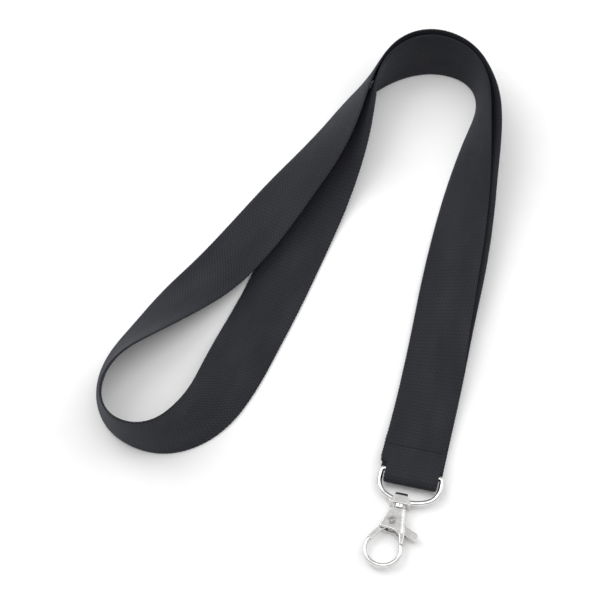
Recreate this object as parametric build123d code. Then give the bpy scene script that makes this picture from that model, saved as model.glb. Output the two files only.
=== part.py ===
"""A neck lanyard: one band of flat webbing, sewn round a D-ring that carries a swivel trigger hook.

It lies on a table, +Z up, with its origin at the centre of its footprint. Lengths are in millimetres.
"""
import math
import os

from build123d import *

# The webbing band
WEB_WIDTH = 25.0
WEB_THICK = 1.2
LAYER = WEB_THICK + 0.12  # one layer and the gap to the next one on it
TABLE_GAP = 0.02  # under a band edge that rests on the table
SECTIONS_PER_SPAN = 2  # loft sections from one point of the route to the next

# The sewn end, measured from the D-ring's bar towards the neck loop
END_LIFT = 0.2  # the lowest layer clears the table by the thread under it
SEAM_AT = 11.5
TAIL_LENGTH = 14.0
FOLD_R = 2.2  # the fold's middle surface
FOLD_SLACK = 3.3  # how far past the bar the loose fold turns back
FOLD_WIDTH = 22.2  # the webbing bunches to pass between the D-ring's legs
NARROW_TO = 1.3  # and is that narrow from the fold to here
WIDE_AT = 4.0  # where it is at its full width again
FLAT_FROM = 10.5  # where the sloping top layer comes down onto the tail
BAND_SHIFT = 1.3  # and lies this much to the left of the D-ring's middle
FOLD_SLOPE = 13.0  # degrees the top layer slopes down from the fold to the seam
STITCH_PITCH = 2.5
STITCH_LENGTH = 2.2
STITCH_COUNT = 9
THREAD_R = 0.2

# The D-ring: a straight bar, two corners, two straight legs, and a bow of three arcs
WIRE_R = 1.0
RING_HALF = 12.3  # from the D-ring's middle to a leg's centreline
CORNER_R = 1.4
LEG_END = 4.5  # from the bar's centreline to where the legs start to curve
SIDE_R = 7.0
BOW_DEPTH = 12.6  # from the bar's centreline to the bow's

# Where the hardware lies: the bar's middle, and how far its axis is turned clockwise from -Y
BAR_X, BAR_Y = 44.7, -82.0
TURN = 13.0
TAIL_Z = END_LIFT + LAYER + WEB_THICK / 2
BAR_Z = TAIL_Z + WEB_THICK / 2 + WIRE_R + 0.1
HOOK_Z = 2.75  # height of the hook's own axis over the table
HOOK_SLIDE = 6.0  # degrees along the bow from its middle to where the hook's eye sits

# The swivel: an eye round the ring's wire, its post, and a collar on the post
# Distances down the hook are counted from the middle of the ring's wire
EYE_R = 2.5
EYE_HOLE_R = 1.45
EYE_CROWN = 0.9  # how far the crown's middle is above the wire's
EYE_WIDTH_TOP = 4.6
EYE_WIDTH_WAIST = 5.4  # just above the wire, where the shoulders begin
EYE_WIDTH_BASE = 8.6
EYE_SHOULDER = 0.9  # the shoulders spread from this far above the wire's middle to as far below it
EYE_BASE = 1.95
POST_R = 0.9
POST_HEAD_R = 1.45
POST_HEAD_THICK = 0.7
COLLAR_R = 2.7
COLLAR_TOP, COLLAR_END = 2.0, 3.9
RUNNING = 0.06  # radial clearance of a pin that turns in its hole

# The hook's body: a hollow tapered housing that runs on into the claw; (x, y) with y up the hook
BODY_TOP = 4.0
BODY_TOP_WALL = 1.3
BODY_HALF_THICK = 2.45
CAVITY_HALF = 1.55
EDGE = 0.3
HOUSING = [
    (-2.95, -4.0), (2.95, -4.0), (3.95, -11.2), (4.85, -15.6), (4.9, -19.6), (3.3, -19.1),
    (2.4, -15.4), (0.1, -13.9), (-2.8, -13.5), (-6.15, -13.3),
]
CAVITY = [
    (-1.95, -5.3), (1.95, -5.3), (2.85, -11.3), (3.0, -15.0), (1.6, -16.0), (-8.0, -16.0), (-5.15, -12.4),
]
GROOVE = [(1.7, -4.6), (2.05, -4.6), (3.05, -11.3), (3.5, -14.9), (3.15, -14.9), (2.7, -11.3)]
GROOVE_DEPTH = 0.4  # cut in the upper face, along the right-hand rim
TAB_SLOT = [(1.0, -6.6), (6.0, -6.6), (6.0, -15.6), (1.0, -15.6)]
GATE_SLOT = [(-8.0, -10.9), (-2.0, -10.9), (-2.0, -16.0), (-8.0, -16.0)]
CLAW_X, CLAW_Y = -2.5, -22.1
CLAW_R = 7.1
ARM_WIDTH, ARM_HEIGHT, ARM_ROUND = 1.7, 2.6, 0.8
CLAW_START, CLAW_END = 145.0, 385.0  # degrees round the claw, from its tip to its root

# The trigger lever on its rivet
PIVOT_X, PIVOT_Y = -1.4, -10.0
RIVET_R = 0.9
RIVET_HEAD_R = 1.85
RIVET_HEAD_THICK = 0.3
DIMPLE_R = 1.0
DIMPLE_DEPTH = 0.5
LEVER_HALF_THICK = 0.95
HUB_R = 2.2
GATE = [(-1.4, -10.0), (-5.1, -13.2), (-6.9, -15.7), (-8.9, -18.8)]
GATE_WIDTH = 1.7
TAB = [
    (0.2, -9.4), (4.2, -10.9), (9.5, -13.0), (10.0, -13.8), (9.5, -15.6), (8.8, -16.1), (4.6, -14.6),
    (-0.6, -12.6),
]
TIP_X, TIP_Y = -8.45, -18.45  # a point of the slanted cut between the gate's end and the claw's tip
TIP_CUT = 38.0  # the way from the claw's tip to the gate across that cut, in degrees
TIP_GAP = 0.08
SPRING_WIRE_R = 0.1
SPRING_R = 1.4
SPRING_PITCH = 0.22
SPRING_HEIGHT = 0.26
SPRING_Z = 1.13
SPRING_LEGS = (2.6, 1.0)

# The footprint's centre, before everything is moved to put it at the origin
CENTRE_X, CENTRE_Y = 1.0, -1.1

# The band's middle line, from the sewn end on the front leg, round the top arch, down to the left
# bend, back over itself and round the arch again to the back leg: x, y, lean, and the height of what
# the band lies on. The lean turns the band about its own line: 0 and 180 lie flat, 90 and 270 stand.
ROUTE = [
    (47.5, -65, 0, 2.7), (52, -46, 5, 1.5), (56.5, -23, 15, 1.2), (61, 2, 20, 1), (65.5, 25, 27, 0.6),
    (69.5, 46, 39, 0), (72.5, 63, 53, 0), (75.5, 79, 67, 0), (78, 92, 80, 0), (76.5, 102, 87, 0),
    (72.5, 108.5, 87, 0), (65, 113, 85, 0), (55, 115, 81, 0), (45, 112, 85, 0), (36, 105.5, 93, 0),
    (30, 97, 106, 0), (25.5, 86, 122, 0), (20.5, 74, 140, 0), (14, 61, 161, 0), (7, 45, 176, 0),
    (-2, 23, 180, 0), (-11.5, 0, 180, 0), (-21, -21, 187, 0), (-29, -40, 206, 0), (-36, -54, 224, 0),
    (-45, -64, 242, 0), (-56, -70, 262, 0), (-67, -69.5, 275, 0), (-76.5, -63.5, 277, 0), (-80.5, -53, 267, 0),
    (-79.5, -42, 254, 0), (-73.5, -30, 240, 0), (-62, -18, 225, 0), (-48, -3, 206, 0), (-33, 12.5, 194, 0),
    (-18, 31.5, 195, 0), (-4, 50.5, 204, 0), (8.5, 67, 215, 0), (17.5, 81.5, 229, 0), (25, 96, 244, 0),
    (33.5, 108, 257, 0), (43.5, 115.5, 270, 0), (55.5, 118, 278, 0), (67, 115.5, 274, 0), (76, 109, 269, 0),
    (80.5, 98, 272, 0), (81, 86, 286, 0), (78, 70, 302, 0), (73.5, 52, 317, 0), (69.5, 32, 331, 0),
    (65, 10, 340, 0), (59, -15, 347, 0), (53.5, -40, 356, 0), (48.5, -62, 360, 0.2), (44.5, -80, 360, 0.2),
]

SIDE_X = RING_HALF - SIDE_R
DROP = BOW_DEPTH - LEG_END
BOW_R = (SIDE_X**2 + DROP**2 - SIDE_R**2) / (2 * (DROP - SIDE_R))
RING_TILT = math.degrees(math.asin((BAR_Z - HOOK_Z) / BOW_DEPTH))
TO_ORIGIN = Location((-CENTRE_X, -CENTRE_Y, 0))
END_FRAME = TO_ORIGIN * Location((BAR_X, BAR_Y, 0), (0, 0, -TURN))
RING_FRAME = END_FRAME * Location((0, 0, BAR_Z), (RING_TILT, 0, 0))
EYE_POINT = Vector(
    -BOW_R * math.sin(math.radians(HOOK_SLIDE)), BOW_R - BOW_DEPTH - BOW_R * math.cos(math.radians(HOOK_SLIDE)), 0
)
HOOK_FRAME = Location((RING_FRAME * Pos(EYE_POINT)).position, (0, 0, -TURN))


def end_section(y, z, slope, width=WEB_WIDTH, shift=BAND_SHIFT):
    """One section of the sewn end: its middle, the way across the band, its normal and its width."""
    turn = math.radians(slope)
    middle = END_FRAME * Pos(-shift, y, z)
    across = Vector(1, 0, 0).rotate(Axis.Z, -TURN)
    heading = Vector(0, math.cos(turn), math.sin(turn)).rotate(Axis.Z, -TURN)
    return middle.position, across, heading.cross(across), width


def end_sections():
    """The tail under the front leg, the fold round the bar, and the front leg down to the seam."""
    sections = [end_section(y, TAIL_Z, 180) for y in (TAIL_LENGTH, SEAM_AT, WIDE_AT)]
    sections.append(end_section(NARROW_TO, TAIL_Z, 180, FOLD_WIDTH, 0))
    steps = 12
    for i in range(steps + 1):
        slope = 180 - (180 + FOLD_SLOPE) * i / steps
        turn = math.radians(slope)
        y = -FOLD_SLACK - FOLD_R * math.sin(turn)
        z = TAIL_Z + FOLD_R + FOLD_R * math.cos(turn)
        sections.append(end_section(y, z, slope, FOLD_WIDTH, 0))
    top = TAIL_Z + LAYER
    fall = math.tan(math.radians(FOLD_SLOPE))
    sections.append(end_section(NARROW_TO, top + (FLAT_FROM - NARROW_TO) * fall, -FOLD_SLOPE, FOLD_WIDTH, 0))
    sections.append(end_section(WIDE_AT, top + (FLAT_FROM - WIDE_AT) * fall, -FOLD_SLOPE))
    sections.append(end_section(FLAT_FROM, top, -FOLD_SLOPE / 2))
    sections.append(end_section(TAIL_LENGTH, top, 0))
    return sections


def between(values, i, t):
    """The Catmull-Rom value at t from values[i] to values[i + 1]."""
    a, b, c, d = (values[min(max(k, 0), len(values) - 1)] for k in range(i - 1, i + 3))
    return b + t * (c - a + t * (2 * a - 5 * b + 4 * c - d + t * (3 * (b - c) + d - a))) / 2


def route_points():
    """The route with points added between its own."""
    columns = list(zip(*ROUTE))
    points = []
    for i in range(len(ROUTE) - 1):
        for k in range(SECTIONS_PER_SPAN):
            points.append([between(column, i, k / SECTIONS_PER_SPAN) for column in columns])
    points.append(list(ROUTE[-1]))
    return points


def route_sections():
    """The free band's sections, each with its lower edge resting on the height the route gives."""
    points = route_points()
    sections = []
    for i, (x, y, lean, on) in enumerate(points):
        before = points[max(i - 1, 0)]
        after = points[min(i + 1, len(points) - 1)]
        heading = Vector(after[0] - before[0], after[1] - before[1], 0).normalized()
        turn = math.radians(lean)
        across = Vector(heading.Y, -heading.X, 0) * math.cos(turn) + Vector(0, 0, math.sin(turn))
        rise = abs(math.sin(turn)) * WEB_WIDTH + abs(math.cos(turn)) * WEB_THICK
        height = TABLE_GAP + max(on, 0) + rise / 2
        middle = Vector(x - CENTRE_X, y - CENTRE_Y, height)
        sections.append((middle, across, heading.cross(across), WEB_WIDTH))
    return sections


def webbing_strap():
    """The whole band in one length: tail, fold, front leg, neck loop and back leg."""
    wires = []
    for middle, across, normal, width in end_sections() + route_sections():
        side = across * (width / 2)
        face = normal * (WEB_THICK / 2)
        corners = [middle - side - face, middle + side - face, middle + side + face, middle - side + face]
        wires.append(Wire.make_polygon(corners))
    return Solid.make_loft(wires, ruled=True)


def stitches(z):
    """A row of stitches across the band, with its middle at height z, at the seam."""
    row = []
    for i in range(STITCH_COUNT):
        x = (i - (STITCH_COUNT - 1) / 2) * STITCH_PITCH - BAND_SHIFT
        row.append(END_FRAME * Location((x, SEAM_AT, z), (0, 90, 0)) * Cylinder(THREAD_R, STITCH_LENGTH))
    return Compound(children=row)


def d_ring():
    """The closed wire: round section swept along the bar, corners, legs and bow."""
    side_centre = Vector(SIDE_X, -LEG_END, 0)
    centre = Vector(0, BOW_R - BOW_DEPTH, 0)
    join = centre + (side_centre - centre).normalized() * BOW_R
    side_turn = math.atan2(join.Y + LEG_END, join.X - SIDE_X) / 2
    side_mid = side_centre + Vector(math.cos(side_turn), math.sin(side_turn), 0) * SIDE_R
    bar_end = RING_HALF - CORNER_R
    corner_mid = Vector(bar_end, -CORNER_R, 0) + Vector(1, 1, 0).normalized() * CORNER_R
    right = [
        ThreePointArc((bar_end, 0), (corner_mid.X, corner_mid.Y), (RING_HALF, -CORNER_R)),
        Line((RING_HALF, -CORNER_R), (RING_HALF, -LEG_END)),
        ThreePointArc((RING_HALF, -LEG_END), (side_mid.X, side_mid.Y), (join.X, join.Y)),
    ]
    left = [
        ThreePointArc((-join.X, join.Y), (-side_mid.X, side_mid.Y), (-RING_HALF, -LEG_END)),
        Line((-RING_HALF, -LEG_END), (-RING_HALF, -CORNER_R)),
        ThreePointArc((-RING_HALF, -CORNER_R), (-corner_mid.X, corner_mid.Y), (-bar_end, 0)),
    ]
    bow = ThreePointArc((join.X, join.Y), (0, -BOW_DEPTH), (-join.X, join.Y))
    path = Wire([Line((-bar_end, 0), (bar_end, 0)), *right, bow, *left])
    profile = Plane.YZ * Circle(WIRE_R)
    return RING_FRAME * sweep(profile, path=path)


def plate(points, half_thick):
    """A flat plate with this outline in the hook's plane, centred on it."""
    return extrude(make_face(Polyline(*points, close=True)), half_thick, both=True)


def along_hook(radius, top, end):
    """A round bar on the hook's own axis between two distances down the hook."""
    return Location((0, -(top + end) / 2, 0), (90, 0, 0)) * Cylinder(radius, end - top)


def on_pivot(radius, low, high):
    """A round bar on the rivet's axis between two heights."""
    return Pos(PIVOT_X, PIVOT_Y, (low + high) / 2) * Cylinder(radius, high - low)


def tip_side(side):
    """The space to clear on one side of the slanted cut, with half the gap: +1 is the gate's, -1 the tip's."""
    width = 5.0
    shift = side * (width - TIP_GAP) / 2
    return Location((TIP_X, TIP_Y, 0), (0, 0, TIP_CUT)) * Pos(shift, 0, 0) * Box(width, 8, 12)


def swivel_eye():
    """The eye: a rounded crown over two shoulders, with a long hole for the ring's wire."""
    side_view = Plane(origin=(0, 0, 0), x_dir=(0, 0, 1), z_dir=(1, 0, 0))
    crown = Pos(0, -EYE_CROWN) * Circle(EYE_R)
    base = Pos(0, (EYE_BASE - EYE_CROWN) / 2) * Rectangle(2 * EYE_R, EYE_BASE + EYE_CROWN)
    hole = Pos(0, -EYE_CROWN / 2) * SlotCenterToCenter(EYE_CROWN, 2 * EYE_HOLE_R, rotation=90)
    block = extrude(side_view * (crown + base - hole), EYE_WIDTH_BASE / 2, both=True)
    top = EYE_CROWN + EYE_R
    left = [
        (-EYE_WIDTH_TOP / 2, top), (-EYE_WIDTH_WAIST / 2, EYE_SHOULDER), (-EYE_WIDTH_BASE / 2, -EYE_SHOULDER),
        (-EYE_WIDTH_BASE / 2, -EYE_BASE),
    ]
    taper = plate(left + [(-x, y) for x, y in reversed(left)], EYE_R + 1)
    return HOOK_FRAME * ((block & taper) - along_hook(POST_R, EYE_BASE - 1.2, EYE_BASE + 1))


def swivel_post():
    """The post: riveted flush in the eye's base, headed inside the housing."""
    inside = BODY_TOP + BODY_TOP_WALL + 0.05
    shank = along_hook(POST_R, EYE_HOLE_R + 0.08, inside)
    return HOOK_FRAME * (shank + along_hook(POST_HEAD_R, inside, inside + POST_HEAD_THICK))


def swivel_collar():
    """The loose collar on the post, its edges rounded."""
    collar = along_hook(COLLAR_R, COLLAR_TOP, COLLAR_END)
    collar = fillet(collar.edges().filter_by(GeomType.CIRCLE), 0.4)
    return HOOK_FRAME * (collar - along_hook(POST_R + RUNNING, COLLAR_TOP - 1, COLLAR_END + 1))


def claw_arm():
    """The claw: part of a ring from its tip round to the housing's right side."""
    angles = [math.radians(a) for a in (CLAW_START, (CLAW_START + CLAW_END) / 2, CLAW_END)]
    points = [(CLAW_X + CLAW_R * math.cos(a), CLAW_Y + CLAW_R * math.sin(a)) for a in angles]
    path = ThreePointArc(*points)
    section = Plane(origin=path @ 0, x_dir=(0, 0, 1), z_dir=path % 0)
    arm = sweep(section * RectangleRounded(ARM_HEIGHT, ARM_WIDTH, ARM_ROUND), path=path)
    return arm - tip_side(1)


def hook_body():
    """The casting: the hollow housing with slots for the trigger's tab and gate, and the claw."""
    housing = plate(HOUSING, BODY_HALF_THICK)
    faces = housing.faces().sort_by(Axis.Z)
    housing = chamfer(faces[0].edges() + faces[-1].edges(), EDGE)
    for opening in (CAVITY, TAB_SLOT, GATE_SLOT):
        housing -= plate(opening, CAVITY_HALF)
    housing -= Pos(0, 0, BODY_HALF_THICK) * plate(GROOVE, GROOVE_DEPTH)
    housing -= along_hook(POST_R + RUNNING, BODY_TOP - 1, BODY_TOP + BODY_TOP_WALL + 0.1)
    housing -= on_pivot(RIVET_R, -5, 5)
    return HOOK_FRAME * (housing + claw_arm())


def pivot_rivet():
    """The rivet: a shank through both plates, a head on each face, and a dimple in the upper one."""
    face = BODY_HALF_THICK
    rivet = on_pivot(RIVET_R, -face, face)
    rivet += on_pivot(RIVET_HEAD_R, face, face + RIVET_HEAD_THICK)
    rivet += on_pivot(RIVET_HEAD_R, -face - RIVET_HEAD_THICK, -face)
    dimple = Pos(PIVOT_X, PIVOT_Y, face + RIVET_HEAD_THICK - DIMPLE_DEPTH / 2)
    rivet -= dimple * Cone(DIMPLE_R * 0.6, DIMPLE_R, DIMPLE_DEPTH)
    return HOOK_FRAME * rivet


def trigger_lever():
    """The lever: a hub on the rivet, the gate down to the claw's tip, and the tab out of the side."""
    lever = on_pivot(HUB_R, -LEVER_HALF_THICK, LEVER_HALF_THICK)
    lever += plate(TAB, LEVER_HALF_THICK)
    for start, end in zip(GATE, GATE[1:]):
        step = Vector(*end) - Vector(*start)
        turn = math.degrees(math.atan2(step.Y, step.X))
        middle = Vector(*start) + step / 2
        slot = Location((middle.X, middle.Y, 0), (0, 0, turn)) * SlotCenterToCenter(step.length, GATE_WIDTH)
        lever += extrude(slot, LEVER_HALF_THICK, both=True)
    lever -= on_pivot(RIVET_R + RUNNING, -5, 5)
    return HOOK_FRAME * (lever - tip_side(-1))


def trigger_spring():
    """The torsion spring: a short coil on the lever's hub with a leg at each end."""
    coil = Helix(SPRING_PITCH, SPRING_HEIGHT, SPRING_R)
    lead = Line(coil @ 0 - coil % 0 * SPRING_LEGS[0], coil @ 0)
    tail = Line(coil @ 1, coil @ 1 + coil % 1 * SPRING_LEGS[1])
    path = Wire([lead, *coil.edges(), tail])
    section = Plane(origin=lead @ 0, z_dir=lead % 0) * Circle(SPRING_WIRE_R)
    spring = sweep(section, path=path, is_frenet=True)
    return HOOK_FRAME * Pos(PIVOT_X, PIVOT_Y, SPRING_Z) * spring


def parts():
    """Every piece under its node's name."""
    upper = TAIL_Z + LAYER + WEB_THICK / 2
    return {
        "webbing_strap": webbing_strap(),
        "seam_needle_thread": stitches(upper),
        "seam_bobbin_thread": stitches(END_LIFT),
        "d_ring": d_ring(),
        "swivel_eye": swivel_eye(),
        "swivel_collar": swivel_collar(),
        "swivel_post": swivel_post(),
        "hook_body": hook_body(),
        "pivot_rivet": pivot_rivet(),
        "trigger_lever": trigger_lever(),
        "trigger_spring": trigger_spring(),
    }


def main():
    """Write one STEP file per piece."""
    os.makedirs("parts", exist_ok=True)
    for name, shape in parts().items():
        export_step(shape, f"parts/{name}.step")


if __name__ == "__main__":
    main()
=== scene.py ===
"""The lanyard's looks: woven band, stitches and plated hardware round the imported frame. Lengths in metres."""

import math

import bmesh
import bpy
import numpy as np
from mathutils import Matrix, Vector


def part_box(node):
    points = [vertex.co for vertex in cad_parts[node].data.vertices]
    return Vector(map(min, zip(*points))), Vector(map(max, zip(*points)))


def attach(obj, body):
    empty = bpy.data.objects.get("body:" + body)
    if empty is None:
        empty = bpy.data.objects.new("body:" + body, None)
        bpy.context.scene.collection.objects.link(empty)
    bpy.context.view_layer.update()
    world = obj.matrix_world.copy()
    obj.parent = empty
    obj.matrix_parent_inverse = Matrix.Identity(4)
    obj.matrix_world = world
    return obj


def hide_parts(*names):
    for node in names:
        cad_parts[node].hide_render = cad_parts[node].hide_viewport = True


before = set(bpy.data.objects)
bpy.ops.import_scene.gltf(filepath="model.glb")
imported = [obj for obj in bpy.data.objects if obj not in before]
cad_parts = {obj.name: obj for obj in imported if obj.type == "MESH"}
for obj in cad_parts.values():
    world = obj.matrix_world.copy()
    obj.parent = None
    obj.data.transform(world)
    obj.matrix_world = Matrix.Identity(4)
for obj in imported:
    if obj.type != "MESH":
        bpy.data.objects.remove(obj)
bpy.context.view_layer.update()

MM = 0.001

# The band, as the CAD strip has it, but narrower at the fold and for a little further past the bar
WEB_WIDTH = 25 * MM
WEB_THICK = 1.2 * MM
LAYER = 1.32 * MM
TABLE_GAP = 0.02 * MM
END_LIFT = 0.2 * MM
SEAM_AT = 11.5 * MM
TAIL_LENGTH = 14 * MM
FOLD_R = 2.2 * MM
FOLD_SLACK = 3.3 * MM
FOLD_WIDTH = 21.6 * MM  # 22.2 in the CAD
NARROW_TO = 1.8 * MM  # 1.3 in the CAD
WIDE_AT = 4 * MM
FLAT_FROM = 10.5 * MM
BAND_SHIFT = 1.3 * MM
FOLD_SLOPE = 13.0
FOLD_STEPS = 12
BACK_LEG_END = 2 * MM  # from the bar to the back leg's cut end
BAR_X, BAR_Y = 44.7 * MM, -82 * MM
TURN = 13.0
CENTRE_X, CENTRE_Y = 1 * MM, -1.1 * MM
TAIL_Z = END_LIFT + LAYER + WEB_THICK / 2
STITCH_PITCH = 2.5 * MM
STITCH_LENGTH = 2.2 * MM
STITCH_COUNT = 9

# A stitch's two plies, and how the seam pulls the band in
PLY_R = 0.105 * MM
PLY_OFFSET = 0.085 * MM  # sideways, from the stitch's middle line to a ply's
PLY_RISE = 0.07 * MM  # and up and down
PLY_TURN = 5.5  # radians from the stitch's middle to its end
STITCH_DIP = 0.34 * MM  # how deep a stitch's ends go into the band
STITCH_POINTS = 25
SEAM_DENT = 0.12 * MM
SEAM_DENT_REACH = 0.7 * MM

# The rivet: its shank, the flats that its head was struck with, and its depths
RIVET_SHANK = 0.9 * MM
RIVET_SIDES = 10
RIVET_HEAD = 0.3 * MM
RIVET_ROUND = 0.12 * MM  # the lower head's edge
RIVET_RIM_DROP = 0.14 * MM  # the upper head's rim
RIVET_LIP = 0.1 * MM
RIVET_DIMPLE = 0.5 * MM
WELD = 0.001 * MM  # points closer than this are one

# The weave
RIB_PITCH = 1.6 * MM  # one cross rib, and one bump of the selvedge
RIB_DEPTH = 0.03 * MM
SCALLOP = 0.16 * MM
STEP = 0.4 * MM  # along the band, from one ring of points to the next
SMOOTH = 5 * MM  # how far the band's own stiffness evens out its route
SEWN_SMOOTH = 0.4 * MM  # and how far at the sewn end
SMOOTH_RAMP = 20 * MM  # the length over which the one passes into the other
BACK_SEWN = 25 * MM  # the back leg's length that lies in the sewn end
POINTS_ACROSS = 22  # from one edge to the other, on each face
BACK_FACE = 40.0  # added to the place across on the back face, so that its weave isn't the front's
WARP_PITCH = 0.8  # mm, one warp end

# The camera is straight on and 60 degrees above the table, an estimate of where the photograph's stood.
# Its lens makes 25 mm of webbing about as wide in the picture as the photograph's band.
CAMERA_AWAY = 1.2
CAMERA_RISE = 60.0
LENS = 174.24
SENSOR = 36

# Soft square lamps: place, and power in watts
LAMP_SIZE = 0.9
LAMPS = {
    "key": ((-0.6, 0.35, 0.9), 5.5),
    "fill": ((0.75, 0.3, 0.75), 2.5),
    "top": ((0.15, -0.2, 1.25), 3.8),
}

# The world: a pale horizon, a dark band above it for the metal to mirror, and a white ceiling
WORLD_STRENGTH = 0.72
WORLD_LEVELS = ((0.2, 1.2), (0.3, 0.06), (0.46, 0.06), (0.62, 1.0))

TABLE_HALF = 4.0
TABLE_DROP = 0.0001  # below the lanyard's own lowest point

# The middle line: x, y, lean in degrees, and the height of what the band lies on
ROUTE = [
    (0.0475, -0.065, 0, 0.0027), (0.052, -0.046, 5, 0.0015), (0.0565, -0.023, 15, 0.0012),
    (0.061, 0.002, 20, 0.001), (0.0655, 0.025, 27, 0.0006), (0.0695, 0.046, 39, 0), (0.0725, 0.063, 53, 0),
    (0.0755, 0.079, 67, 0), (0.078, 0.092, 80, 0), (0.0765, 0.102, 87, 0), (0.0725, 0.1085, 87, 0),
    (0.065, 0.113, 85, 0), (0.055, 0.115, 81, 0), (0.045, 0.112, 85, 0), (0.036, 0.1055, 93, 0),
    (0.03, 0.097, 106, 0), (0.0255, 0.086, 122, 0), (0.0205, 0.074, 140, 0), (0.014, 0.061, 161, 0),
    (0.007, 0.045, 176, 0), (-0.002, 0.023, 180, 0), (-0.0115, 0.0, 180, 0), (-0.021, -0.021, 187, 0),
    (-0.029, -0.04, 206, 0), (-0.036, -0.054, 224, 0), (-0.045, -0.064, 242, 0), (-0.056, -0.07, 262, 0),
    (-0.067, -0.0695, 275, 0), (-0.0765, -0.0635, 277, 0), (-0.0805, -0.053, 267, 0),
    (-0.0795, -0.042, 254, 0), (-0.0735, -0.03, 240, 0), (-0.062, -0.018, 225, 0),
    (-0.048, -0.003, 206, 0), (-0.033, 0.0125, 194, 0), (-0.018, 0.0315, 195, 0), (-0.004, 0.0505, 204, 0),
    (0.0085, 0.067, 215, 0), (0.0175, 0.0815, 229, 0), (0.025, 0.096, 244, 0), (0.0335, 0.108, 257, 0),
    (0.0435, 0.1155, 270, 0), (0.0555, 0.118, 278, 0), (0.067, 0.1155, 274, 0), (0.076, 0.109, 269, 0),
    (0.0805, 0.098, 272, 0), (0.081, 0.086, 286, 0), (0.078, 0.07, 302, 0), (0.0735, 0.052, 317, 0),
    (0.0695, 0.032, 331, 0), (0.065, 0.01, 340, 0), (0.059, -0.015, 347, 0), (0.0535, -0.04, 356, 0),
    (0.0485, -0.062, 360, 0.0002), (0.0445, -0.08, 360, 0.0002),
]


def between(values, i, t):
    """The Catmull-Rom value at t from values[i] to values[i + 1]."""
    a, b, c, d = (values[min(max(k, 0), len(values) - 1)] for k in range(i - 1, i + 3))
    return b + t * (c - a + t * (2 * a - 5 * b + 4 * c - d + t * (3 * (b - c) + d - a))) / 2


def straight(values, i, t):
    """The value at t on the straight line from values[i] to values[i + 1]."""
    return values[i] + t * (values[i + 1] - values[i])


def end_place(x, y, z):
    """A point of the sewn end, given from the ring's bar, in the frame."""
    turn = math.radians(-TURN)
    east = BAR_X - CENTRE_X + x * math.cos(turn) - y * math.sin(turn)
    north = BAR_Y - CENTRE_Y + x * math.sin(turn) + y * math.cos(turn)
    return np.array((east, north, z))


def end_keys():
    """The tail, the loose fold past the bar and the front leg down to the seam: middle, across, width."""
    turn = math.radians(-TURN)
    across = np.array((math.cos(turn), math.sin(turn), 0.0))
    top = TAIL_Z + LAYER
    fall = math.tan(math.radians(FOLD_SLOPE))
    places = [(y, TAIL_Z, WEB_WIDTH, BAND_SHIFT) for y in (TAIL_LENGTH, SEAM_AT, WIDE_AT)]
    places.append((NARROW_TO, TAIL_Z, FOLD_WIDTH, 0))
    for i in range(FOLD_STEPS + 1):
        slope = math.radians(180 - (180 + FOLD_SLOPE) * i / FOLD_STEPS)
        z = TAIL_Z + FOLD_R + FOLD_R * math.cos(slope)
        places.append((-FOLD_SLACK - FOLD_R * math.sin(slope), z, FOLD_WIDTH, 0))
    places.append((NARROW_TO, top + (FLAT_FROM - NARROW_TO) * fall, FOLD_WIDTH, 0))
    places.append((WIDE_AT, top + (FLAT_FROM - WIDE_AT) * fall, WEB_WIDTH, BAND_SHIFT))
    places.append((FLAT_FROM, top, WEB_WIDTH, BAND_SHIFT))
    places.append((TAIL_LENGTH, top, WEB_WIDTH, BAND_SHIFT))
    return [(end_place(-shift, y, z), across, width) for y, z, width, shift in places]


def route_keys():
    """The free band's keys, each with its lower edge resting on the height the route gives."""
    columns = list(zip(*ROUTE))
    points = []
    for i in range(len(ROUTE) - 1):
        for t in (0, 0.5):
            points.append([between(column, i, t) for column in columns])
    points.append(list(ROUTE[-1]))
    keys = []
    for i, (x, y, lean, on) in enumerate(points):
        before = points[max(i - 1, 0)]
        after = points[min(i + 1, len(points) - 1)]
        heading = Vector((after[0] - before[0], after[1] - before[1], 0)).normalized()
        turn = math.radians(lean)
        across = Vector((heading.y, -heading.x, 0)) * math.cos(turn) + Vector((0, 0, math.sin(turn)))
        rise = abs(math.sin(turn)) * WEB_WIDTH + abs(math.cos(turn)) * WEB_THICK
        middle = np.array((x - CENTRE_X, y - CENTRE_Y, TABLE_GAP + max(on, 0) + rise / 2))
        keys.append((middle, np.array(across), WEB_WIDTH))
    return keys


def evened(values, amount):
    """Values averaged along the band with a bell-shaped weight, as its stiffness does."""
    reach = int(3 * amount.max() / STEP)
    offsets = np.arange(-reach, reach + 1)
    index = np.clip(np.arange(len(values))[:, None] + offsets, 0, len(values) - 1)
    weight = np.exp(-0.5 * (offsets * STEP / np.maximum(amount, 0.1 * STEP)[:, None]) ** 2)
    weight /= weight.sum(axis=1, keepdims=True)
    return np.einsum("ij,ijk->ik", weight, values[index])


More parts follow.
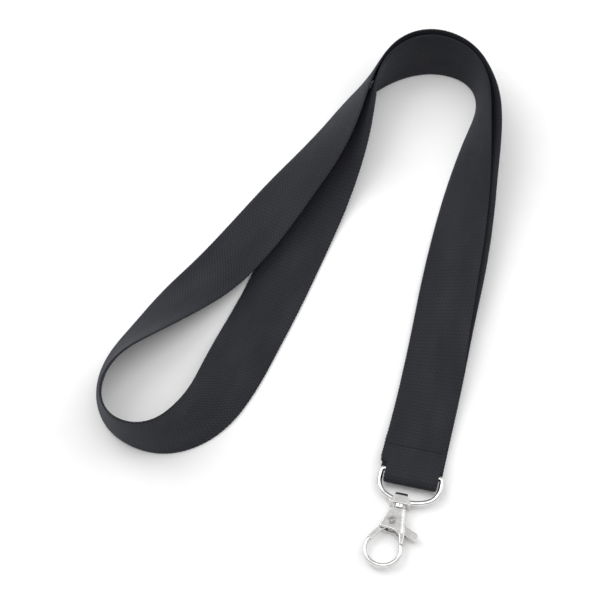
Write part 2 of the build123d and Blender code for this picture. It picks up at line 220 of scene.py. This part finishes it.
def band_line():
    """Even steps along the band: distance, middle, across, normal and half width of each."""
    sewn_keys = end_keys()
    keys = sewn_keys + route_keys()
    middles = np.array([key[0] for key in keys])
    acrosses = np.array([key[1] for key in keys])
    widths = np.array([[key[2]] for key in keys])
    sewn = np.linalg.norm(np.diff(middles[:len(sewn_keys)], axis=0), axis=1).sum()
    dense = []
    for i in range(len(keys) - 1):
        curve = straight if i < len(sewn_keys) - 1 else between
        for t in np.linspace(0, 1, 12, endpoint=False):
            dense.append(np.concatenate([curve(v, i, t) for v in (middles, acrosses, widths)]))
    dense.append(np.concatenate([middles[-1], acrosses[-1], widths[-1]]))
    dense = np.array(dense)
    gaps = np.linalg.norm(np.diff(dense[:, :3], axis=0), axis=1)
    travelled = np.concatenate(([0.0], np.cumsum(gaps)))
    length = travelled[-1]
    along = np.linspace(0, length, int(length / STEP))
    even = np.stack([np.interp(along, travelled, column) for column in dense.T], axis=1)
    free = np.clip(np.minimum(along - sewn, length - BACK_SEWN - along) / SMOOTH_RAMP, 0, 1)
    even = evened(even, SEWN_SMOOTH + (SMOOTH - SEWN_SMOOTH) * free)
    middle = even[:, :3]
    heading = np.gradient(middle, axis=0)
    heading /= np.linalg.norm(heading, axis=1, keepdims=True)
    across = even[:, 3:6] / np.linalg.norm(even[:, 3:6], axis=1, keepdims=True)
    # Where the band shifts sideways at the ring, its sections stay square to the sewn end
    heading -= across * np.sum(heading * across, axis=1, keepdims=True)
    heading /= np.linalg.norm(heading, axis=1, keepdims=True)
    return along, middle, across, np.cross(heading, across), even[:, 6] / 2, sewn


def rim():
    """The band's cross-section, once round: place across from -1 to 1, and share of half thickness."""
    angles = np.linspace(0, math.pi, POINTS_ACROSS)
    place = -np.cos(angles)
    place = np.sign(place) * np.abs(place) ** 0.8
    share = (1 - np.abs(place) ** 14) ** 0.5
    place = np.concatenate((place, place[-2:0:-1]))
    share = np.concatenate((share, -share[-2:0:-1]))
    return place, share


def new_object(name, verts, faces):
    """A mesh object with smooth faces."""
    mesh = bpy.data.meshes.new(name)
    mesh.from_pydata([tuple(v) for v in verts], [], faces)
    mesh.update()
    mesh.polygons.foreach_set("use_smooth", [True] * len(mesh.polygons))
    piece = bpy.data.objects.new(name, mesh)
    bpy.context.collection.objects.link(piece)
    return piece


def seam_dent(along, sewn):
    """How far each ring of points is pulled in by the stitches, on the layers that they go through."""
    past_seam = TAIL_LENGTH - SEAM_AT
    dent = np.zeros_like(along)
    for place in (past_seam, sewn - past_seam, along[-1] - (SEAM_AT - BACK_LEG_END)):
        dent += np.exp(-(((along - place) / SEAM_DENT_REACH) ** 2))
    return dent * SEAM_DENT


def band(materials):
    """The whole band as one closed mesh with ribs, scalloped selvedges and heat-cut ends."""
    along, middle, across, normal, half, sewn = band_line()
    place, share = rim()
    phase = 2 * math.pi * along / RIB_PITCH
    rib = RIB_DEPTH * np.sin(phase)
    dent = seam_dent(along, sewn)
    verts = []
    for side, half_share in zip(place, share):
        edge = SCALLOP * (abs(side) ** 30) * (0.5 - 0.5 * np.cos(phase + (math.pi if side > 0 else 0)))
        out = side * (half - edge)
        thick = half_share * (WEB_THICK / 2 - RIB_DEPTH + rib - dent)
        verts.append(middle + across * out[:, None] + normal * thick[:, None])
    verts = np.array(verts).transpose(1, 0, 2)
    rings, around = verts.shape[:2]
    faces = []
    for i in range(rings - 1):
        for k in range(around):
            n = (k + 1) % around
            faces.append((i * around + k, i * around + n, (i + 1) * around + n, (i + 1) * around + k))
    top = (around + 2) // 2
    for ring in (0, rings - 1):
        for k in range(top - 1):
            quad = (ring * around + k, ring * around + k + 1, ring * around + (around - k - 1) % around,
                    ring * around + (around - k) % around)
            quad = list(dict.fromkeys(quad))
            faces.append(tuple(quad if ring == 0 else reversed(quad)))
    piece = new_object("webbing_band", verts.reshape(-1, 3), faces)
    mesh = piece.data
    weave = mesh.uv_layers.new(name="Band")
    flat_across = (place[None, :] * half[:, None] / MM).reshape(-1)
    flat_across += np.tile((share < 0) * BACK_FACE, rings)
    flat_along = np.repeat(along / MM, around)
    corner = np.empty(len(mesh.loops), dtype=np.int64)
    mesh.loops.foreach_get("vertex_index", corner)
    weave.data.foreach_set("uv", np.stack((flat_across[corner], flat_along[corner]), axis=1).reshape(-1))
    for material in materials:
        mesh.materials.append(material)
    sides = (rings - 1) * around
    mesh.polygons.foreach_set("material_index", [0] * sides + [1] * (len(faces) - sides))
    tidy = bmesh.new()
    tidy.from_mesh(mesh)
    bmesh.ops.recalc_face_normals(tidy, faces=tidy.faces)
    tidy.to_mesh(mesh)
    tidy.free()
    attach(piece, "strap")
    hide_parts("webbing_strap")


def tube(path, radius, sides=8):
    """Points and faces of a closed tube along a short path."""
    path = [Vector(p) for p in path]
    verts = []
    faces = []
    for i, point in enumerate(path):
        heading = (path[min(i + 1, len(path) - 1)] - path[max(i - 1, 0)]).normalized()
        side = heading.cross(Vector((0.1, 0.2, 1))).normalized()
        up = side.cross(heading)
        for k in range(sides):
            a = 2 * math.pi * k / sides
            verts.append(point + side * radius * math.cos(a) + up * radius * math.sin(a))
    for i in range(len(path) - 1):
        for k in range(sides):
            n = (k + 1) % sides
            faces.append((i * sides + k, i * sides + n, (i + 1) * sides + n, (i + 1) * sides + k))
    faces.append(tuple(reversed(range(sides))))
    faces.append(tuple(range((len(path) - 1) * sides, len(path) * sides)))
    return verts, faces


def stitch_row(name, node, height, outward, material):
    """The row of stitches on one side: each a two-ply thread that dips into the band at both ends."""
    verts = []
    faces = []
    for i in range(STITCH_COUNT):
        middle = (i - (STITCH_COUNT - 1) / 2) * STITCH_PITCH
        for ply in (0, math.pi):
            path = []
            for t in np.linspace(-1, 1, STITCH_POINTS):
                spin = ply + t * PLY_TURN
                dip = STITCH_DIP * abs(t) ** 5
                x = middle + t * STITCH_LENGTH * 0.5 - BAND_SHIFT
                y = SEAM_AT + PLY_OFFSET * math.cos(spin)
                z = height + outward * (0.02 * MM + PLY_RISE * math.sin(spin) - dip)
                path.append(end_place(x, y, z))
            ring_verts, ring_faces = tube(path, PLY_R)
            start = len(verts)
            verts += ring_verts
            faces += [tuple(start + k for k in face) for face in ring_faces]
    piece = new_object(name, verts, faces)
    piece.data.materials.append(material)
    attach(piece, "strap")
    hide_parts(node)


def softened(node, name, body, voxel, rounds, material):
    """A casting in place of its CAD node: the same solid with tumbled, rounded edges."""
    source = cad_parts[node]
    mesh = source.data.copy()
    piece = bpy.data.objects.new(name, mesh)
    bpy.context.collection.objects.link(piece)
    piece.matrix_world = source.matrix_world
    weld = piece.modifiers.new("weld", "WELD")
    weld.merge_threshold = WELD
    remesh = piece.modifiers.new("remesh", "REMESH")
    remesh.mode = "VOXEL"
    remesh.voxel_size = voxel
    remesh.use_smooth_shade = True
    smooth = piece.modifiers.new("smooth", "SMOOTH")
    smooth.factor = 0.5
    smooth.iterations = rounds
    bpy.context.view_layer.update()
    shape = bpy.data.meshes.new_from_object(piece.evaluated_get(bpy.context.evaluated_depsgraph_get()))
    piece.modifiers.clear()
    piece.data = shape
    shape.materials.clear()
    shape.materials.append(material)
    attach(piece, body)
    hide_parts(node)


class Nodes:
    """A short way to add and join shader nodes in one material."""

    def __init__(self, name):
        self.material = bpy.data.materials.new(name)
        self.material.use_nodes = True
        self.tree = self.material.node_tree
        self.shader = self.tree.nodes["Principled BSDF"]

    def add(self, kind, values=(), **settings):
        """A new node with its inputs and its settings."""
        node = self.tree.nodes.new("ShaderNode" + kind)
        for key, value in settings.items():
            setattr(node, key, value)
        for key, value in dict(values).items():
            self.put(node, key, value)
        return node

    def put(self, node, key, value):
        """Join an output to an input, or set the input's own value."""
        if isinstance(value, bpy.types.NodeSocket):
            self.tree.links.new(value, node.inputs[key])
        else:
            node.inputs[key].default_value = value

    def math(self, operation, *values):
        """One sum on values or sockets."""
        node = self.add("Math", operation=operation)
        for i, value in enumerate(values):
            self.put(node, i, value)
        return node.outputs[0]

    def ramp(self, factor, stops):
        """A colour ramp with these stops."""
        node = self.add("ValToRGB", {"Fac": factor})
        elements = node.color_ramp.elements
        while len(elements) < len(stops):
            elements.new(0.5)
        for element, (place, colour) in zip(elements, stops):
            element.position = place
            element.color = (*colour, 1)
        return node.outputs["Color"]

    def noise(self, vector, scale, detail=3.0, roughness=0.5):
        """Noise at these coordinates."""
        values = {"Vector": vector, "Scale": scale, "Detail": detail, "Roughness": roughness}
        return self.add("TexNoise", values).outputs["Fac"]

    def set(self, **values):
        """Set the shader's own inputs, named with _ for a space."""
        for key, value in values.items():
            self.put(self.shader, key.replace("_", " "), value)
        return self.material


def webbing_material():
    """Charcoal polyester webbing: cross ribs crossed by fine warp ends, in the band's own measures."""
    n = Nodes("webbing")
    uv = n.add("UVMap", uv_map="Band").outputs["UV"]
    split = n.add("SeparateXYZ", {"Vector": uv})
    across, along = split.outputs["X"], split.outputs["Y"]
    warp = n.math("MULTIPLY", across, 2 * math.pi / WARP_PITCH)
    weft = n.math("MULTIPLY", along, 2 * math.pi / (RIB_PITCH / MM))
    sine_warp = n.math("SINE", warp)
    sine_weft = n.math("SINE", weft)
    # Neighbouring warp ends rise over opposite picks, so the two waves multiply
    half_warp = n.math("SINE", n.math("MULTIPLY", warp, 0.5))
    crossing = n.math("MULTIPLY", half_warp, sine_weft)
    round_end = n.math("ABSOLUTE", half_warp)
    cell = n.math("ADD", n.math("MULTIPLY", crossing, 0.5), n.math("MULTIPLY", round_end, 0.6))
    fibre = n.noise(n.add("Mapping", {"Vector": uv, "Scale": (9.0, 1.6, 1.0)}).outputs[0], 1.4, 4.0, 0.6)
    blotch = n.noise(n.add("Mapping", {"Vector": uv, "Scale": (0.09, 0.03, 1.0)}).outputs[0], 1.0, 2.0)
    height = n.math("ADD", cell, n.math("MULTIPLY", fibre, 0.5))
    rib = n.math("ADD", n.math("MULTIPLY", cell, 0.32), n.math("MULTIPLY", sine_weft, 0.05))
    tone = n.math("ADD", rib, n.math("MULTIPLY", fibre, 0.7))
    tone = n.math("ADD", tone, n.math("MULTIPLY", n.math("SUBTRACT", blotch, 0.5), 0.5))
    tone = n.math("ADD", tone, n.math("MULTIPLY", sine_warp, 0.03))
    colour = n.ramp(tone, [
        (0.0, (0.004, 0.006, 0.011)), (0.4, (0.012, 0.013, 0.017)), (0.8, (0.032, 0.032, 0.037)),
        (1.0, (0.070, 0.069, 0.077)),
    ])
    bump = n.add("Bump", {"Height": height, "Strength": 0.7, "Distance": 0.12 * MM}).outputs[0]
    n.set(Base_Color=colour, Roughness=0.78, Normal=bump, Sheen_Weight=0.06, Sheen_Roughness=0.5)
    return n.set(Sheen_Tint=(0.62, 0.66, 0.8, 1), Specular_IOR_Level=0.25)


def melted_end_material():
    """Webbing sealed with heat: the fibres run together, dark and a little glossy."""
    n = Nodes("webbing_cut_end")
    place = n.add("TexCoord").outputs["Object"]
    lumps = n.noise(place, 2400.0, 3.0)
    colour = n.ramp(lumps, [(0.3, (0.006, 0.007, 0.010)), (0.7, (0.022, 0.023, 0.028))])
    bump = n.add("Bump", {"Height": lumps, "Strength": 0.6, "Distance": 0.12 * MM}).outputs[0]
    return n.set(Base_Color=colour, Roughness=0.38, Normal=bump)


def thread_material():
    """Sewing thread, nearly black, with its plies' fibres."""
    n = Nodes("sewing_thread")
    place = n.add("TexCoord").outputs["Object"]
    fibre = n.noise(place, 5200.0, 3.0)
    colour = n.ramp(fibre, [(0.3, (0.002, 0.003, 0.005)), (0.7, (0.010, 0.011, 0.015))])
    bump = n.add("Bump", {"Height": fibre, "Strength": 0.4, "Distance": 0.03 * MM}).outputs[0]
    return n.set(Base_Color=colour, Roughness=0.7, Normal=bump, Sheen_Weight=0.05, Sheen_Roughness=0.5)


def plated_material(name, light, dark, roughness_span, lump_scale, lump_depth):
    """Plate or bare metal: lumps of the metal under it, fine polishing marks, and a dull film in patches."""
    n = Nodes(name)
    place = n.add("TexCoord").outputs["Object"]
    lumps = n.noise(place, lump_scale, 2.0)
    film = n.noise(place, 420.0, 4.0, 0.6)
    marks = n.noise(n.add("Mapping", {"Vector": place, "Scale": (1.0, 9.0, 3.0)}).outputs[0], 1500.0, 3.0)
    warm = (1.0, 0.99, 0.975)  # nickel is a little yellower than silver
    colour = n.ramp(film, [(p, [level * c for c in warm]) for p, level in ((0.3, dark), (0.7, light))])
    spread = n.math("ADD", n.math("MULTIPLY", film, 0.6), n.math("MULTIPLY", marks, 0.4))
    smooth, rough = roughness_span
    span = {"Value": spread, "From Min": 0.3, "From Max": 0.7, "To Min": smooth, "To Max": rough}
    roughness = n.add("MapRange", span).outputs[0]
    height = n.math("ADD", lumps, n.math("MULTIPLY", marks, 0.03))
    bump = n.add("Bump", {"Height": height, "Strength": 0.5, "Distance": lump_depth}).outputs[0]
    return n.set(Base_Color=colour, Metallic=1.0, Roughness=roughness, Normal=bump)


def wear(node, material):
    """Puts a material on a CAD node that keeps its shape."""
    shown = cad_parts[node]
    for shown_slot in shown.material_slots:
        shown_slot.material = material


def aim(thing, place, target):
    """Stands a camera or light at a place, looking at a target."""
    thing.location = place
    thing.rotation_euler = (Vector(target) - Vector(place)).to_track_quat("-Z", "Y").to_euler()


def camera():
    """The camera, aimed at the middle of the table under the lanyard."""
    data = bpy.data.cameras.new("camera")
    data.lens = LENS
    data.sensor_width = SENSOR
    data.clip_start = 0.01
    eye = bpy.data.objects.new("camera", data)
    bpy.context.collection.objects.link(eye)
    rise = math.radians(CAMERA_RISE)
    target = Vector((-CENTRE_X, -CENTRE_Y, 0))
    eye.location = target + CAMERA_AWAY * Vector((0, -math.cos(rise), math.sin(rise)))
    eye.rotation_euler = (math.radians(90 - CAMERA_RISE), 0, 0)
    bpy.context.scene.camera = eye


def area_light(name, place, power):
    """A soft square lamp aimed at the lanyard."""
    data = bpy.data.lights.new(name, "AREA")
    data.size = LAMP_SIZE
    data.energy = power
    lamp = bpy.data.objects.new(name, data)
    bpy.context.collection.objects.link(lamp)
    aim(lamp, place, (0, 0, 0))


def studio():
    """A white table, the world round it, and the three lamps."""
    world = bpy.data.worlds.new("studio")
    bpy.context.scene.world = world
    bpy.context.scene.view_settings.view_transform = "Standard"
    world.use_nodes = True
    tree = world.node_tree
    place = tree.nodes.new("ShaderNodeTexCoord")
    split = tree.nodes.new("ShaderNodeSeparateXYZ")
    fade = tree.nodes.new("ShaderNodeValToRGB")
    tree.links.new(place.outputs["Generated"], split.inputs[0])
    tree.links.new(split.outputs["Z"], fade.inputs["Fac"])
    tree.links.new(fade.outputs["Color"], tree.nodes["Background"].inputs["Color"])
    stops = fade.color_ramp.elements
    for position, level in WORLD_LEVELS:
        stops.new(position).color = (level, level, level, 1)
    stops.remove(stops[0])
    stops.remove(stops[len(stops) - 1])
    tree.nodes["Background"].inputs["Strength"].default_value = WORLD_STRENGTH
    for lamp_name, (lamp_place, power) in LAMPS.items():
        area_light(lamp_name, lamp_place, power)
    n = Nodes("table")
    place = n.add("TexCoord").outputs["Object"]
    grain = n.noise(place, 60.0)
    colour = n.ramp(grain, [(0.3, (0.93, 0.93, 0.93)), (0.7, (0.95, 0.95, 0.95))])
    n.set(Base_Color=colour, Roughness=0.9, Specular_IOR_Level=0.1)
    signs = ((-1, -1), (1, -1), (1, 1), (-1, 1))
    corners = [(x * TABLE_HALF, y * TABLE_HALF, -TABLE_DROP) for x, y in signs]
    table = new_object("table", corners, [(0, 1, 2, 3)])
    table.data.materials.append(n.material)


def turned_rivet(material):
    """The rivet in place of its CAD node: the same size, with faceted heads, a rolled rim and a dimple."""
    low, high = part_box("pivot_rivet")
    middle = (Vector(low) + Vector(high)) / 2
    top = (high[2] - low[2]) / 2
    head = (high[0] - low[0]) / 2
    profile = [
        (0.0, -top), (head * 0.8, -top), (head, -top + RIVET_ROUND), (head, -top + RIVET_HEAD),
        (RIVET_SHANK, -top + RIVET_HEAD), (RIVET_SHANK, top - RIVET_HEAD), (head, top - RIVET_HEAD),
        (head, top - RIVET_RIM_DROP), (head * 0.86, top), (head * 0.64, top), (head * 0.54, top - RIVET_LIP),
        (head * 0.4, top - RIVET_DIMPLE), (0.0, top - RIVET_DIMPLE),
    ]
    verts = []
    faces = []
    for i in range(RIVET_SIDES):
        a = 2 * math.pi * i / RIVET_SIDES
        verts += [(middle.x + r * math.cos(a), middle.y + r * math.sin(a), middle.z + z) for r, z in profile]
    count = len(profile)
    for i in range(RIVET_SIDES):
        here, there = i * count, (i + 1) % RIVET_SIDES * count
        for k in range(count - 1):
            faces.append((here + k, there + k, there + k + 1, here + k + 1))
    piece = new_object("rivet_turned", verts, faces)
    tidy = bmesh.new()
    tidy.from_mesh(piece.data)
    bmesh.ops.remove_doubles(tidy, verts=tidy.verts, dist=WELD)
    bmesh.ops.recalc_face_normals(tidy, faces=tidy.faces)
    tidy.to_mesh(piece.data)
    tidy.free()
    piece.data.polygons.foreach_set("use_smooth", [False] * len(piece.data.polygons))
    piece.data.materials.append(material)
    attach(piece, "hook")
    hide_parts("pivot_rivet")


def hardware():
    """The ring, swivel and hook: castings softened at their edges, the rivet new, the others as they are."""
    wire = plated_material("nickel_wire", 0.84, 0.72, (0.06, 0.16), 500.0, 0.02 * MM)
    cast = plated_material("nickel_casting", 0.82, 0.68, (0.10, 0.20), 380.0, 0.03 * MM)
    steel = plated_material("turned_steel", 0.5, 0.34, (0.2, 0.38), 1500.0, 0.01 * MM)
    spring = plated_material("spring_steel", 0.45, 0.3, (0.25, 0.4), 2000.0, 0.01 * MM)
    wear("d_ring", wire)
    wear("swivel_collar", cast)
    wear("swivel_post", steel)
    turned_rivet(steel)
    wear("trigger_spring", spring)
    softened("hook_body", "hook_casting", "hook", 0.11 * MM, 6, cast)
    softened("trigger_lever", "trigger_casting", "trigger", 0.09 * MM, 5, cast)
    softened("swivel_eye", "eye_casting", "swivel", 0.08 * MM, 9, cast)


camera()
studio()
band([webbing_material(), melted_end_material()])
thread = thread_material()
stitch_row("needle_stitches", "seam_needle_thread", TAIL_Z + LAYER + WEB_THICK / 2, 1, thread)
stitch_row("bobbin_stitches", "seam_bobbin_thread", END_LIFT, -1, thread)
hardware()
